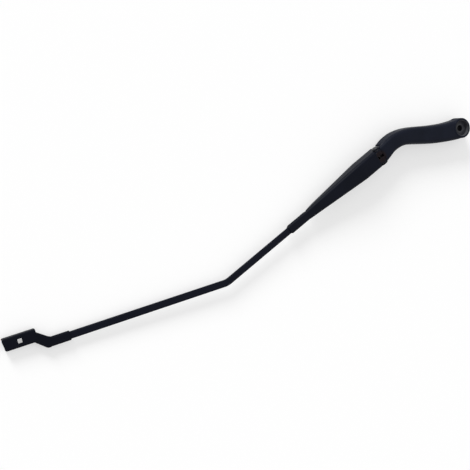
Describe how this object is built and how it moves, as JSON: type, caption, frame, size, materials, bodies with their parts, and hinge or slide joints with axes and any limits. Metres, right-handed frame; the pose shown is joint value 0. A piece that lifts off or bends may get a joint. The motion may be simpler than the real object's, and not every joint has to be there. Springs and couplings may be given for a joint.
{
  "type": "wiper arm",
  "caption": "Windscreen wiper arm: cast mounting head, hinged steel channel with a tension spring inside, cranked flat rod and a pressed end connector for the blade.",
  "frame": {"origin": "on the spindle bore's axis at the seat of the spindle's nut, which is the top of the bore's plain stretch", "axes": "+Z along the spindle, away from the glass; +X from the spindle towards the connector's window, along the arm's length"},
  "size_m": [0.6826, 0.0857, 0.0244],
  "materials": {
    "cast_paint": "satin black",
    "sheet_paint": "satin black",
    "rod_paint": "satin black",
    "plated_steel": "zinc plated",
    "spring_steel": "oiled spring wire",
    "bush_plastic": "natural plastic"
  },
  "bodies": {
    "head": {"mounting_head": "cast_paint", "pivot_bush_left": "bush_plastic", "pivot_bush_right": "bush_plastic", "spring_pin": "plated_steel"},
    "arm": {"channel": "sheet_paint", "rod": "rod_paint", "connector": "sheet_paint", "pivot_pin": "plated_steel"},
    "link": {"spring_link": "plated_steel"},
    "spring": {"tension_spring": "spring_steel"}
  },
  "joints": [
    {"name": "arm_lift", "type": "hinge", "parent": "head", "child": "arm", "pos_m": [0.136, -0.0142, 0.0015], "axis": [0.2309, -0.973, 0], "range_deg": [0, 65]},
    {"name": "link_swing", "type": "hinge", "parent": "head", "child": "link", "pos_m": [0.13094, -0.0154, -0.0037], "axis": [0.2309, -0.973, 0], "range_deg": [0, 61]},
    {"name": "spring_swing", "type": "hinge", "parent": "arm", "child": "spring", "pos_m": [0.22351, 0.00657, -0.00257], "axis": [0.2309, -0.973, 0], "range_deg": [-5, 0]}
  ],
  "couplings": [
    {"joint": "link_swing", "follows": "arm_lift", "ratio": 0.92969},
    {"joint": "spring_swing", "follows": "arm_lift", "ratio": -0.070309}
  ]
}
